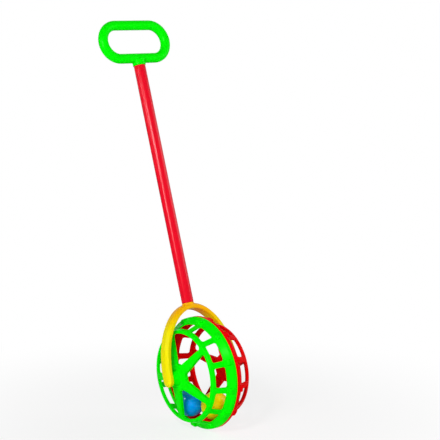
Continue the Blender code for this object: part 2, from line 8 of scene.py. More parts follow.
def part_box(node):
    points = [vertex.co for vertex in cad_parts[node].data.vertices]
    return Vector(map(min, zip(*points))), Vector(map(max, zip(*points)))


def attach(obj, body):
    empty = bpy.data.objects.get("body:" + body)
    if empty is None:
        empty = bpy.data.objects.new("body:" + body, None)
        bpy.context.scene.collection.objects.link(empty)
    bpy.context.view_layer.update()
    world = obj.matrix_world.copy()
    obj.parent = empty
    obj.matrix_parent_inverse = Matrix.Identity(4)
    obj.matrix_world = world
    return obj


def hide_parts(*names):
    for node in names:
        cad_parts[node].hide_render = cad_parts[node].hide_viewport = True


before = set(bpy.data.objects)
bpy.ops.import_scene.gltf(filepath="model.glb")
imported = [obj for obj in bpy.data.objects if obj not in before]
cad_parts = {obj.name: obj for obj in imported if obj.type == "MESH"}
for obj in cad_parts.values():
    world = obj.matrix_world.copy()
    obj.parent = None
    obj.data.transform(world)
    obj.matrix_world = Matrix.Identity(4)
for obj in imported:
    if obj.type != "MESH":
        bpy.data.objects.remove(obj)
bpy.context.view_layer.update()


# Cage wheel halves: two openwork shells of glossy moulded plastic, green on the left and red on the
# right. Each is one moulding, from the tread and its lugs over the windowed band and the ring to the spokes
# and the hub; the rims lap together on the middle plane, and the blind bearings turn on the fork's pins.

wheel_low, wheel_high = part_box("wheel_half_left")
TREAD_RADIUS = (wheel_high.y - wheel_low.y) / 2.0
AXLE = Vector((0.0, 0.0, wheel_low.z + TREAD_RADIUS))
LEFT_PHASE_DEG = 276.2
RIGHT_PHASE_DEG = 155.7
WELD = 0.00002
FINE_WELD = WELD / 4.0

WALL = 0.0024
SEAM_OFFSET = 0.0010
SEAM_GAP = 0.0003
LAP_LENGTH = 0.0030
LAP_SKIN = 0.0012
TREAD_HALF_WIDTH = 0.0036
RIM_EDGE = Vector((0.0050, TREAD_RADIUS - 0.0008))
BAND_TOP = Vector((0.0119, TREAD_RADIUS - 0.0073))
RING = Vector((0.0298, TREAD_RADIUS - 0.0167))
RING_BAR = 0.0024
KINK_ROUND = 0.0010
RIM_ROUND = 0.0007
LAP_ROUND = 0.0002
ARC_STEPS = 4
QUARTER_BENDS = [math.pi / 2.0 * step / ARC_STEPS for step in range(ARC_STEPS + 1)]
RING_ROUND = 0.0006
RING_STEPS = 16

WINDOWS = 12
CELL_COLUMNS = 16
CELL_ROWS = 12
CORNER_STEPS = 4
WINDOW_RIB_DEG = 6.9
WINDOW_FOOT = 0.0037
WINDOW_LENGTH = 0.0156
WINDOW_FILLET = 0.0026
WINDOW_EDGE_OUT = 0.0004
WINDOW_EDGE_IN = 0.00025
SHEET_RINGS = 3

LUG_HALF_WIDTH = 0.0040
LUG_START = 0.0045
LUG_SHOULDER = 0.0089
LUG_END = 0.0113
LUG_TOP = TREAD_RADIUS - 0.0004
LUG_END_TOP = TREAD_RADIUS - 0.0026
LUG_ROOT = 0.0016
LUG_ROUND = 0.0009

SPOKES = 5
SPOKE_HUB_HALF = 0.0074
SPOKE_RING_HALF = 0.0040
SPOKE_FILLET = 0.0030
SPOKE_DEPTH = 2.0 * RING_BAR
SPOKE_EDGE_ROUND = 0.0006
SPOKE_BACK_ROUND = 0.0003
SPOKE_SINK = 0.0001
FILLET_STEPS = 8
POCKET_START = 0.0235
POCKET_END = RING.y - 0.0072
POCKET_EDGE = 0.0017
POCKET_SKIN = 0.0021
POCKET_WALL = 0.0003
SPOKE_STATIONS = 8

PLATE = Vector((0.0434, 0.0190))
HUB_FACE = Vector((0.0440, 0.0168))
HUB_FOOT_RADIUS = 0.0106
HUB_NOSE = Vector((0.0544, 0.0084))
BEARING_INNER = 0.0360
BORE_RADIUS = 0.0053
FLOOR_RECESS = 0.0004
FLOOR_THICKNESS = 0.0014
HUB_ROUND = 0.0008
HUB_STEPS = 72

FLOW_SCALE = 48.0
FLOW_DETAIL = 3.0
FLOW_ROUGHNESS = 0.55
FLOW_TO_GLOSS = 0.12
FLOW_TO_HEIGHT = 0.35
SCUFF_SCALE = 310.0
SCUFF_DETAIL = 6.0
SCUFF_ROUGHNESS = 0.72
SCUFF_FROM = 0.60
SCUFF_TO = 0.72
SCUFF_TO_GLOSS = 1.6
SCUFF_TINT = (0.75, 0.75, 0.72, 1.0)
PEEL_SCALE = 1150.0
PEEL_DETAIL = 2.0
PEEL_ROUGHNESS = 0.5
PEEL_STRENGTH = 0.5


def full_turn(steps):
    """Angles spread evenly round a circle."""
    return [2.0 * math.pi * step / steps for step in range(steps)]


def softened(corners, radii, steps):
    """A flat outline with each corner turned into an arc of its own radius."""
    points = []
    for index, corner in enumerate(corners):
        radius = radii[index]
        if radius == 0:
            points.append(corner)
            continue
        before = (corners[index - 1] - corner).normalized()
        after = (corners[(index + 1) % len(corners)] - corner).normalized()
        half = before.angle(after) / 2.0
        middle = corner + (before + after).normalized() * (radius / math.sin(half))
        start = corner + before * (radius / math.tan(half)) - middle
        sweep = start.angle_signed(corner + after * (radius / math.tan(half)) - middle)
        for step in range(steps + 1):
            turn = -sweep * step / steps
            x = start.x * math.cos(turn) - start.y * math.sin(turn)
            y = start.x * math.sin(turn) + start.y * math.cos(turn)
            points.append(middle + Vector((x, y)))
    return points


def sheet(work, rows, ring=False):
    """Quads between successive rows of points; a ring joins each row's end to its start."""
    made = [[work.verts.new(point) for point in row] for row in rows]
    for near, far in zip(made, made[1:]):
        for step in range(len(near) if ring else len(near) - 1):
            after = (step + 1) % len(near)
            work.faces.new((near[step], near[after], far[after], far[step]))


def plain_mesh(name, work):
    mesh = bpy.data.meshes.new(name)
    work.to_mesh(mesh)
    work.free()
    return mesh


def finished(name, meshes, place, material, smooth_deg=35.0):
    """One closed piece from its shells, with its place in its mesh and its faces outwards."""
    work = bmesh.new()
    for mesh in meshes:
        work.from_mesh(mesh)
        bpy.data.meshes.remove(mesh)
    bmesh.ops.remove_doubles(work, verts=work.verts, dist=WELD)
    bmesh.ops.dissolve_degenerate(work, edges=work.edges, dist=FINE_WELD)
    bmesh.ops.recalc_face_normals(work, faces=work.faces)
    work.transform(place)
    mesh = plain_mesh(name, work)
    mesh.shade_smooth()
    mesh.set_sharp_from_angle(angle=math.radians(smooth_deg))
    mesh.materials.clear()
    mesh.materials.append(material)
    mesh.polygons.foreach_set("material_index", [0] * len(mesh.polygons))
    piece = bpy.data.objects.new(name, mesh)
    bpy.context.scene.collection.objects.link(piece)
    return piece


def round_axle_tree():
    """Copies of one cell, spread evenly round the X axis and welded into one shell."""
    tree = bpy.data.node_groups.new("spread round the axle", "GeometryNodeTree")
    tree.interface.new_socket("Geometry", in_out="INPUT", socket_type="NodeSocketGeometry")
    tree.interface.new_socket("Count", in_out="INPUT", socket_type="NodeSocketInt")
    tree.interface.new_socket("Turn", in_out="INPUT", socket_type="NodeSocketFloat")
    tree.interface.new_socket("Weld", in_out="INPUT", socket_type="NodeSocketFloat")
    tree.interface.new_socket("Material", in_out="INPUT", socket_type="NodeSocketMaterial")
    tree.interface.new_socket("Geometry", in_out="OUTPUT", socket_type="NodeSocketGeometry")
    node, link = tree.nodes.new, tree.links.new
    entry = node("NodeGroupInput")
    places = node("GeometryNodeMeshLine")
    places.inputs["Offset"].default_value = (0.0, 0.0, 0.0)
    link(entry.outputs["Count"], places.inputs["Count"])
    share = node("ShaderNodeMath")
    share.operation = "DIVIDE"
    share.inputs[0].default_value = 2.0 * math.pi
    link(entry.outputs["Count"], share.inputs[1])
    angle = node("ShaderNodeMath")
    angle.operation = "MULTIPLY_ADD"
    link(node("GeometryNodeInputIndex").outputs["Index"], angle.inputs[0])
    link(share.outputs["Value"], angle.inputs[1])
    link(entry.outputs["Turn"], angle.inputs[2])
    turn = node("FunctionNodeAxisAngleToRotation")
    turn.inputs["Axis"].default_value = (1.0, 0.0, 0.0)
    link(angle.outputs["Value"], turn.inputs["Angle"])
    copies = node("GeometryNodeInstanceOnPoints")
    link(places.outputs["Mesh"], copies.inputs["Points"])
    link(entry.outputs["Geometry"], copies.inputs["Instance"])
    link(turn.outputs["Rotation"], copies.inputs["Rotation"])
    real = node("GeometryNodeRealizeInstances")
    link(copies.outputs["Instances"], real.inputs["Geometry"])
    weld = node("GeometryNodeMergeByDistance")
    link(real.outputs["Geometry"], weld.inputs["Geometry"])
    link(entry.outputs["Weld"], weld.inputs["Distance"])
    dress = node("GeometryNodeSetMaterial")
    link(weld.outputs["Geometry"], dress.inputs["Geometry"])
    link(entry.outputs["Material"], dress.inputs["Material"])
    link(dress.outputs["Geometry"], node("NodeGroupOutput").inputs["Geometry"])
    return tree


def grown(mesh, tree, values):
    """The plain mesh that a geometry tree makes from a mesh and its named inputs."""
    holder = bpy.data.objects.new(mesh.name, mesh)
    bpy.context.scene.collection.objects.link(holder)
    modifier = holder.modifiers.new(tree.name, "NODES")
    modifier.node_group = tree
    for item in tree.interface.items_tree:
        if item.in_out == "INPUT" and item.name in values:
            modifier[item.identifier] = values[item.name]
    ready = holder.evaluated_get(bpy.context.evaluated_depsgraph_get())
    made = bpy.data.meshes.new_from_object(ready)
    bpy.data.objects.remove(holder)
    bpy.data.meshes.remove(mesh)
    return made


def on_wheel(side, axial, radius, angle):
    return Vector((side * axial, radius * math.cos(angle), radius * math.sin(angle)))


def tangent_normal(point, sense):
    """The direction from the ring's middle to where a line from an outside point touches it."""
    away = point - RING
    angle = math.atan2(away.y, away.x) + sense * math.acos(RING_BAR / away.length)
    return Vector((math.cos(angle), math.sin(angle)))


band_out = tangent_normal(BAND_TOP, -1.0)
face_out = tangent_normal(PLATE, 1.0)
up_band = Vector((-band_out.y, band_out.x))
band_foot = RING + band_out * RING_BAR
along_rim = (BAND_TOP - RIM_EDGE).normalized()
rim_out = Vector((-along_rim.y, along_rim.x))
face_slope = face_out.y / face_out.x


def rim_outline(side):
    """The rim's section from the band's outer foot over the tread to its inner foot."""
    edge = SEAM_GAP - SEAM_OFFSET if side > 0 else SEAM_OFFSET
    inner_rim = TREAD_RADIUS - WALL
    inner_top = RIM_EDGE - rim_out * WALL
    inner_start = inner_top + along_rim * ((inner_rim - inner_top.y) / along_rim.y)
    half_bend = (rim_out + band_out).normalized()
    inner_kink = BAND_TOP - half_bend * (WALL / half_bend.dot(rim_out))
    depth = RING_BAR - WALL
    inner_foot = RING + band_out * depth + up_band * math.sqrt(RING_BAR ** 2 - depth ** 2)
    lap_radius = TREAD_RADIUS - LAP_SKIN - (SEAM_GAP if side > 0 else 0.0)
    lap_end = SEAM_GAP - SEAM_OFFSET - LAP_LENGTH if side > 0 else edge + LAP_LENGTH
    corners = (
        (band_foot, 0.0),
        (BAND_TOP, KINK_ROUND),
        (RIM_EDGE, RIM_ROUND),
        (Vector((TREAD_HALF_WIDTH, TREAD_RADIUS)), RIM_ROUND),
        (Vector((edge, TREAD_RADIUS)), LAP_ROUND),
        (Vector((edge, lap_radius)), LAP_ROUND),
        (Vector((lap_end, lap_radius)), LAP_ROUND),
        (Vector((lap_end, inner_rim)), LAP_ROUND),
        (inner_start, RIM_ROUND),
        (inner_kink, KINK_ROUND / 2.0),
        (inner_foot, 0.0),
    )
    points = [corner for corner, _ in corners]
    return softened(points, [radius for _, radius in corners], ARC_STEPS)


def ring_arc(start, stop):
    points = []
    for step in range(RING_STEPS + 1):
        angle = start + (stop - start) * step / RING_STEPS
        points.append(RING + RING_BAR * Vector((math.cos(angle), math.sin(angle))))
    return points


def ring_outline(inner_foot):
    """The ring's section from the band's inner foot, round the spokes' ends, to its outer foot."""
    face_angle = math.atan2(face_out.y, face_out.x)
    start = math.atan2(inner_foot.y - RING.y, inner_foot.x - RING.x)
    back = ring_arc(start, face_angle + math.pi)
    front = ring_arc(face_angle, math.atan2(band_out.y, band_out.x))
    toward_hub = Vector((face_out.y, -face_out.x))
    corners = [back[-1]]
    for spot in (back[-1], front[0]):
        corners.append(spot + toward_hub * ((spot.y - RING.y + RING_BAR) / face_out.x))
    corners.append(front[0])
    return back[:-1] + softened(corners, [0.0, RING_ROUND, RING_ROUND, 0.0], ARC_STEPS) + front[1:]


def window_loop(grow, half_angle_span, middle_radius):
    """A rounded window outline as (angle, climb) pairs, in step with the cell's border."""
    wide = half_angle_span * middle_radius + grow
    tall = WINDOW_LENGTH / 2.0 + grow
    fillet = WINDOW_FILLET + grow
    centre = WINDOW_FOOT + WINDOW_LENGTH / 2.0

    def stops(half, count):
        bends = [half - fillet + fillet * math.tan(math.pi / 4.0 * step / CORNER_STEPS)
                 for step in range(CORNER_STEPS + 1)]
        inner = count - 2 * CORNER_STEPS
        flat = [(half - fillet) * (2.0 * step / inner - 1.0) for step in range(1, inner)]
        return [-bend for bend in reversed(bends)] + flat + bends

    border = [(x, -tall) for x in stops(wide, CELL_COLUMNS)[:-1]]
    border += [(wide, y) for y in stops(tall, CELL_ROWS)[:-1]]
    border += [(-x, tall) for x in stops(wide, CELL_COLUMNS)[:-1]]
    border += [(-wide, -y) for y in stops(tall, CELL_ROWS)[:-1]]
    outline = []
    for x, y in border:
        heart = Vector((
            max(-wide + fillet, min(wide - fillet, x)),
            max(-tall + fillet, min(tall - fillet, y)),
        ))
        spot = heart + (Vector((x, y)) - heart).normalized() * fillet
        outline.append(Vector((spot.x / middle_radius, centre + spot.y)))
    return outline


def cell_border(low, high):
    """The cell's own border as (angle, climb) pairs, in the same order as a window loop."""
    half = math.pi / WINDOWS
    columns = [half * (2.0 * step / CELL_COLUMNS - 1.0) for step in range(CELL_COLUMNS)]
    rows = [low + (high - low) * step / CELL_ROWS for step in range(CELL_ROWS)]
    border = [Vector((angle, low)) for angle in columns]
    border += [Vector((half, climb)) for climb in rows]
    border += [Vector((-angle, high)) for angle in columns]
    border += [Vector((-half, low + high - climb)) for climb in rows]
    return border


def rim_cell(side):
    """One twelfth of the rim, with its window and its lug, centred on angle zero."""
    outline = rim_outline(side)
    outer_high = (outline[1] - band_foot).dot(up_band)
    inner_low = (outline[-1] - band_foot).dot(up_band)
    inner_high = (outline[-2] - band_foot).dot(up_band)
    span = math.pi / WINDOWS - math.radians(WINDOW_RIB_DEG) / 2.0
    middle_radius = (band_foot + up_band * (WINDOW_FOOT + WINDOW_LENGTH / 2.0)).y

    def loop(grow, rise):
        return [(spot, rise) for spot in window_loop(grow, span, middle_radius)]

    outer = [(spot, 0.0) for spot in cell_border(0.0, outer_high)]
    inner = [(spot, -WALL) for spot in cell_border(inner_low, inner_high)]
    lip = []
    for bend in QUARTER_BENDS:
        fall = -WINDOW_EDGE_OUT * (1.0 - math.cos(bend))
        lip.append(loop(WINDOW_EDGE_OUT * (1.0 - math.sin(bend)), fall))
    for bend in reversed(QUARTER_BENDS):
        rise = WINDOW_EDGE_IN * (1.0 - math.cos(bend)) - WALL
        lip.append(loop(WINDOW_EDGE_IN * (1.0 - math.sin(bend)), rise))
    loops = [outer]
    for ring, edge in ((outer, lip[0]), (inner, lip[-1])):
        between = []
        for step in range(1, SHEET_RINGS):
            share = step / SHEET_RINGS
            between.append([(a.lerp(b, share), rise) for (a, rise), (b, _) in zip(ring, edge)])
        if ring is outer:
            loops.extend(between + lip)
        else:
            loops.extend(reversed(between))
    loops.append(inner)

    work = bmesh.new()
    rows = []
    for ring in loops:
        row = []
        for spot, rise in ring:
            flat = band_foot + up_band * spot.y + band_out * rise
            row.append(on_wheel(side, flat.x, flat.y, spot.x))
        rows.append(row)
    sheet(work, rows, ring=True)

    half = math.pi / WINDOWS
    columns = [half * (2.0 * step / CELL_COLUMNS - 1.0) for step in range(CELL_COLUMNS + 1)]
    for run in (outline[1:-1], ring_outline(outline[-1])):
        sheet(work, [[on_wheel(side, spot.x, spot.y, angle) for angle in columns] for spot in run])
    return plain_mesh("rim cell", work)


def lug_block(side):
    """One rounded lug on the rim's shoulder, centred on angle zero."""
    slope = rim_out.x / rim_out.y
    section = (
        Vector((LUG_START, RIM_EDGE.y - (LUG_START - RIM_EDGE.x) * slope - LUG_ROOT)),
        Vector((LUG_START, LUG_TOP)),
        Vector((LUG_SHOULDER, LUG_TOP)),
        Vector((LUG_END, LUG_END_TOP)),
        Vector((LUG_END, RIM_EDGE.y - (LUG_END - RIM_EDGE.x) * slope - LUG_ROOT)),
    )
    work = bmesh.new()
    ends = []
    for across in (-LUG_HALF_WIDTH, LUG_HALF_WIDTH):
        ends.append([work.verts.new((side * spot.x, across, spot.y)) for spot in section])
    for step in range(len(section)):
        after = (step + 1) % len(section)
        work.faces.new((ends[0][step], ends[0][after], ends[1][after], ends[1][step]))
    for end in ends:
        work.faces.new(end)
    bmesh.ops.bevel(
        work, geom=work.edges[:], offset=LUG_ROUND, segments=ARC_STEPS, profile=0.5, affect="EDGES"
    )
    work.transform(Matrix.Rotation(-math.pi / 2.0, 4, "X"))
    return plain_mesh("lug", work)


def spoke_half_width(reach):
    share = (reach - PLATE.y) / (RING.y - RING_BAR - PLATE.y)
    return SPOKE_HUB_HALF + (SPOKE_RING_HALF - SPOKE_HUB_HALF) * share


def spoke_fillet(reach, touch_turn):
    """Points of the fillet from the hub plate or the ring to the spoke's side."""
    across = spoke_half_width(reach) + SPOKE_FILLET
    middle = Vector((math.sqrt(reach ** 2 - across ** 2), across))
    touch = math.atan2(middle.y, middle.x) + touch_turn
    points = []
    for step in range(FILLET_STEPS + 1):
        turn = touch - (touch + math.pi / 2.0) * step / FILLET_STEPS
        points.append(middle + SPOKE_FILLET * Vector((math.cos(turn), math.sin(turn))))
    return points


def spoke_stations():
    """(radius, half width, sink) from inside the hub plate, over both fillets, into the ring."""
    ring_inner = RING.y - RING_BAR
    first = spoke_fillet(PLATE.y + SPOKE_FILLET, -math.pi)
    last = spoke_fillet(ring_inner - SPOKE_FILLET, 0.0)[::-1]
    deep = PLATE.y - SPOKE_EDGE_ROUND
    stations = [(deep - SPOKE_EDGE_ROUND, first[0].y, 0.0), (deep, first[0].y, 0.0)]
    stations.extend((spot.length, spot.y, 0.0) for spot in first)
    near, far = first[-1], last[0]
    reaches = [near.x + (far.x - near.x) * step / SPOKE_STATIONS for step in range(1, SPOKE_STATIONS)]
    for edge in (POCKET_START, POCKET_END):
        reaches.extend((edge - POCKET_WALL / 2.0, edge + POCKET_WALL / 2.0))
    for reach in sorted(reaches):
        half = spoke_half_width(reach)
        stations.append((math.hypot(reach, half), half, 0.0))
    stations.extend((spot.length, spot.y, 0.0) for spot in last)
    under = ((RING_ROUND, 0.0), (RING_ROUND + SPOKE_SINK, SPOKE_SINK), (2.0 * RING_ROUND, SPOKE_SINK))
    stations.extend((ring_inner + depth, last[-1].y, sink) for depth, sink in under)
    return stations


def spoke_section(half, hollow):
    """(across, depth) round one spoke: a flat face with round edges and a hollow back."""
    pocket = half - POCKET_EDGE
    floor = POCKET_SKIN if hollow else SPOKE_DEPTH
    front = SPOKE_EDGE_ROUND
    back = SPOKE_BACK_ROUND
    right = [(half * 0.5, 0.0)]
    for bend in QUARTER_BENDS:
        right.append((half - front + front * math.sin(bend), front - front * math.cos(bend)))
    for bend in QUARTER_BENDS:
        right.append((half - back + back * math.cos(bend), SPOKE_DEPTH - back + back * math.sin(bend)))
    right.append((pocket + back, SPOKE_DEPTH))
    right.append((pocket, SPOKE_DEPTH - (back if hollow else 0.0)))
    right.append((pocket, floor + (back if hollow else 0.0)))
    right.append((pocket - back, floor))
    return [(0.0, 0.0)] + right + [(0.0, floor)] + [(-across, depth) for across, depth in reversed(right)]


def spoke_bar(side):
    """One tapered spoke with flared ends, centred on angle zero."""
    crest = RING.x + RING_BAR * face_out.x
    crest_radius = RING.y + RING_BAR * face_out.y
    rows = []
    for radius, half, sink in spoke_stations():
        face = crest + (crest_radius - radius) * face_slope
        face -= max(0.0, PLATE.y - radius)
        hollow = POCKET_START < radius - POCKET_WALL / 4.0 < POCKET_END
        row = []
        for across, depth in spoke_section(half, hollow):
            depth = max(sink, min(SPOKE_DEPTH - sink, depth))
            reach = math.sqrt(radius ** 2 - across ** 2)
            row.append(Vector((side * (face - depth / face_out.x), reach, across)))
        rows.append(row)
    work = bmesh.new()
    sheet(work, rows, ring=True)
    work.verts.ensure_lookup_table()
    count = len(rows[0])
    total = len(work.verts)
    work.faces.new([work.verts[index] for index in range(count)])
    work.faces.new([work.verts[index] for index in range(total - count, total)])
    return plain_mesh("spoke", work)


def hub_body(side):
    """The turned hub: plate, stepped nose and blind bearing, closed on the axle."""
    back = SPOKE_DEPTH / face_out.x
    floor = BEARING_INNER + FLOOR_RECESS
    corners = (
        (Vector((floor + FLOOR_THICKNESS, 0.0)), 0.0),
        (Vector((floor + FLOOR_THICKNESS, BORE_RADIUS)), 0.0),
        (Vector((HUB_NOSE.x, BORE_RADIUS)), LAP_ROUND),
        (HUB_NOSE, HUB_ROUND),
        (Vector((HUB_FACE.x, HUB_FOOT_RADIUS)), HUB_ROUND),
        (HUB_FACE, HUB_ROUND),
        (PLATE, HUB_ROUND / 2.0),
        (PLATE - Vector((back, 0.0)), LAP_ROUND),
        (Vector((HUB_FACE.x - back, HUB_FACE.y)), 0.0),
        (Vector((HUB_FACE.x - back, HUB_NOSE.y)), HUB_ROUND),
        (Vector((BEARING_INNER, HUB_NOSE.y)), LAP_ROUND),
        (Vector((BEARING_INNER, BORE_RADIUS)), LAP_ROUND),
        (Vector((floor, BORE_RADIUS)), 0.0),
        (Vector((floor, 0.0)), 0.0),
    )
    outline = softened([corner for corner, _ in corners], [radius for _, radius in corners], ARC_STEPS)
    rows = [[on_wheel(side, spot.x, spot.y, angle) for angle in full_turn(HUB_STEPS)] for spot in outline]
    work = bmesh.new()
    sheet(work, rows, ring=True)
    bmesh.ops.remove_doubles(work, verts=work.verts, dist=FINE_WELD)
    return plain_mesh("hub", work)


def moulded_group():
    """Flow mottling, light scuffs and the faint peel of a moulded surface."""
    tree = bpy.data.node_groups.new("moulded surface", "ShaderNodeTree")
    for label, kind in (
        ("Colour", "NodeSocketColor"),
        ("Mottle", "NodeSocketFloat"),
        ("Scuff", "NodeSocketFloat"),
        ("Gloss Roughness", "NodeSocketFloat"),
    ):
        tree.interface.new_socket(label, in_out="INPUT", socket_type=kind)
    for label, kind in (
        ("Colour", "NodeSocketColor"),
        ("Roughness", "NodeSocketFloat"),
        ("Height", "NodeSocketFloat"),
    ):
        tree.interface.new_socket(label, in_out="OUTPUT", socket_type=kind)
    node, link = tree.nodes.new, tree.links.new
    entry, leave = node("NodeGroupInput"), node("NodeGroupOutput")
    where = node("ShaderNodeTexCoord")

    def noise(scale, detail, roughness):
        made = node("ShaderNodeTexNoise")
        made.inputs["Scale"].default_value = scale
        made.inputs["Detail"].default_value = detail
        made.inputs["Roughness"].default_value = roughness
        link(where.outputs["Object"], made.inputs["Vector"])
        return made.outputs["Fac"]

    def sum_of(first, second, factor=None):
        made = node("ShaderNodeMath")
        made.operation = "MULTIPLY_ADD" if factor is not None else "ADD"
        sources = (first, factor, second) if factor is not None else (first, second)
        for socket, source in zip(made.inputs, sources):
            if isinstance(source, float):
                socket.default_value = source
            else:
                link(source, socket)
        return made.outputs["Value"]

    flow = noise(FLOW_SCALE, FLOW_DETAIL, FLOW_ROUGHNESS)
    centred = sum_of(flow, -0.5)
    value = sum_of(centred, 1.0, entry.outputs["Mottle"])
    tint = node("ShaderNodeHueSaturation")
    link(entry.outputs["Colour"], tint.inputs["Color"])
    link(value, tint.inputs["Value"])
    marks = node("ShaderNodeMapRange")
    marks.inputs["From Min"].default_value = SCUFF_FROM
    marks.inputs["From Max"].default_value = SCUFF_TO
    link(noise(SCUFF_SCALE, SCUFF_DETAIL, SCUFF_ROUGHNESS), marks.inputs["Value"])
    scuffed = node("ShaderNodeMath")
    scuffed.operation = "MULTIPLY"
    link(marks.outputs["Result"], scuffed.inputs[0])
    link(entry.outputs["Scuff"], scuffed.inputs[1])
    rubbed = node("ShaderNodeMix")
    rubbed.data_type = "RGBA"
    link(scuffed.outputs["Value"], rubbed.inputs["Factor"])
    link(tint.outputs["Color"], rubbed.inputs[6])
    rubbed.inputs[7].default_value = SCUFF_TINT
    rough = sum_of(centred, entry.outputs["Gloss Roughness"], FLOW_TO_GLOSS)
    rough = sum_of(scuffed.outputs["Value"], rough, SCUFF_TO_GLOSS)
    peel = sum_of(noise(PEEL_SCALE, PEEL_DETAIL, PEEL_ROUGHNESS), flow, FLOW_TO_HEIGHT)
    link(rubbed.outputs[2], leave.inputs["Colour"])
    link(rough, leave.inputs["Roughness"])
    link(peel, leave.inputs["Height"])
    return tree


moulded = moulded_group()


def colour_of(red, green, blue):
    """A linear colour from screen values out of 255."""
    linear = []
    for value in (red, green, blue):
        share = value / 255.0
        linear.append(share / 12.92 if share <= 0.04045 else ((share + 0.055) / 1.055) ** 2.4)
    return (*linear, 1.0)


def moulded_plastic(name, colour, gloss=0.26, mottle=0.08, scuff=0.02, specular=0.03, peel=0.000014):
    material = bpy.data.materials.new(name)
    material.use_nodes = True
    tree = material.node_tree
    shader = tree.nodes["Principled BSDF"]
    shader.inputs["Specular IOR Level"].default_value = specular
    surface = tree.nodes.new("ShaderNodeGroup")
    surface.node_tree = moulded
    surface.inputs["Colour"].default_value = colour
    surface.inputs["Mottle"].default_value = mottle
    surface.inputs["Scuff"].default_value = scuff
    surface.inputs["Gloss Roughness"].default_value = gloss
    bump = tree.nodes.new("ShaderNodeBump")
    bump.inputs["Strength"].default_value = PEEL_STRENGTH
    bump.inputs["Distance"].default_value = peel
    tree.links.new(surface.outputs["Colour"], shader.inputs["Base Color"])
    tree.links.new(surface.outputs["Roughness"], shader.inputs["Roughness"])
    tree.links.new(surface.outputs["Height"], bump.inputs["Height"])
    tree.links.new(bump.outputs["Normal"], shader.inputs["Normal"])
    return material


green_plastic = moulded_plastic("green moulded plastic", colour_of(4, 244, 4), specular=0.02)
red_plastic = moulded_plastic("red moulded plastic", colour_of(242, 3, 8), specular=0.012)
round_axle = round_axle_tree()
on_axle = Matrix.Translation(AXLE)
for node_name, side, phase_deg, material, slot in (
    ("wheel_half_left", -1.0, LEFT_PHASE_DEG, green_plastic, "green_plastic"),
    ("wheel_half_right", 1.0, RIGHT_PHASE_DEG, red_plastic, "red_plastic"),
):
    rib_turn = math.radians(phase_deg)
    window_turn = rib_turn + math.pi / WINDOWS
    spread = {"Weld": WELD, "Material": material}
    rim = grown(rim_cell(side), round_axle, dict(spread, Count=WINDOWS, Turn=window_turn))
    lugs = grown(lug_block(side), round_axle, dict(spread, Count=WINDOWS, Turn=rib_turn))
    spokes = grown(spoke_bar(side), round_axle, dict(spread, Count=SPOKES, Turn=rib_turn))
    shell = finished(node_name + "_shell", [rim, lugs, spokes, hub_body(side)], on_axle, material)
    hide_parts(node_name)
    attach(shell, "wheel")


# Loose balls: two hollow blow-moulded balls, blue and yellow, that are shut in when the halves are
# joined. Each has a faint parting line round it where its mould closed.

BALL_STEPS = 72
PARTING_DEPTH = 0.00012
PARTING_HALF_DEG = 1.3
PARTING_LEAN_AXIS = Vector((0.5, 0.7, 0.2))
POLISHED_SCUFF = 0.005
POLISHED_PEEL = 0.000003


def ball_mesh(radius, centre, lean):
    """A turned ball whose parting line leans by the given rotation."""
    polar_angles = [math.pi * step / BALL_STEPS for step in range(BALL_STEPS + 1)]
    middle = math.pi / 2.0
    lip = math.radians(PARTING_HALF_DEG)
    polar_angles += [middle - lip, middle - lip / 2.0, middle + lip / 2.0, middle + lip]
    rows = []
    for polar_angle in sorted(polar_angles):
        dip = max(0.0, 1.0 - abs(polar_angle - middle) / lip) * PARTING_DEPTH
        flat = (radius - dip) * math.sin(polar_angle)
        rise = (radius - dip) * math.cos(polar_angle)
        rows.append([
            Vector((flat * math.cos(turn), flat * math.sin(turn), rise)) for turn in full_turn(BALL_STEPS)
        ])
    work = bmesh.new()
    sheet(work, rows, ring=True)
    work.transform(Matrix.Translation(centre) @ lean.to_4x4())
    return plain_mesh("ball", work)


polished = {"scuff": POLISHED_SCUFF, "peel": POLISHED_PEEL}
blue_plastic = moulded_plastic(
    "blue polished plastic", colour_of(1, 152, 255), gloss=0.04, specular=0.22, **polished
)
yellow_plastic = moulded_plastic(
    "yellow polished plastic", colour_of(255, 226, 3), gloss=0.06, specular=0.12, **polished
)
for node_name, body, material, slot, lean_deg in (
    ("ball_blue", "blue_ball", blue_plastic, "blue_plastic", 64.0),
    ("ball_yellow", "yellow_ball", yellow_plastic, "yellow_plastic", 118.0),
):
    ball_low, ball_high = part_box(node_name)
    ball_radius = (ball_high.z - ball_low.z) / 2.0
    lean = Matrix.Rotation(math.radians(lean_deg), 3, PARTING_LEAN_AXIS)
    ball = ball_mesh(ball_radius, (ball_low + ball_high) / 2.0, lean)
    shell = finished(node_name + "_shell", [ball], Matrix.Identity(4), material)
    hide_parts(node_name)
    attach(shell, body)


# Fork: one amber moulding with a raised flat panel and two long bevels that run from the left arm's
# round tip over the crown to the right one. Stub pins inside the tips carry the wheel, and a collar
# with a ribbed plug on the crown takes the tube.

LEAN_DEG = 18.8
ARCH_HALF_SPAN = 0.0590
ARCH_HEIGHT = 0.0934
ARM_HALF_WIDTH = 0.0090
ARM_HALF_THICKNESS = 0.0038
ARM_BEVEL_ACROSS = 0.0046
ARM_BEVEL_DEPTH = 0.0026
ARM_BACK_ROUND = 0.0010
ARM_BEVEL_ROUND = 0.0008
ARM_END_DROP = 0.0015
ARCH_STEPS = 96
TIP_STEPS = 32
PIN_RADIUS = 0.0050
PIN_END = 0.0382
PIN_NOSE = 0.0015
PIN_SHOULDER_RADIUS = 0.0080
PIN_ROOT = 0.0030
SEAT_RADIUS = 0.0087
SEAT_TOP = 0.0982
SEAT_ROOT = 0.0045
SEAT_ROUND = 0.0008
TUBE_RADIUS = 0.0083
TUBE_WALL = 0.0016
PLUG_LENGTH = 0.0260
PLUG_RIBS = 6
PLUG_VALLEY = 0.0006
PLUG_CHAMFER = 0.0010
TURNED_STEPS = 64
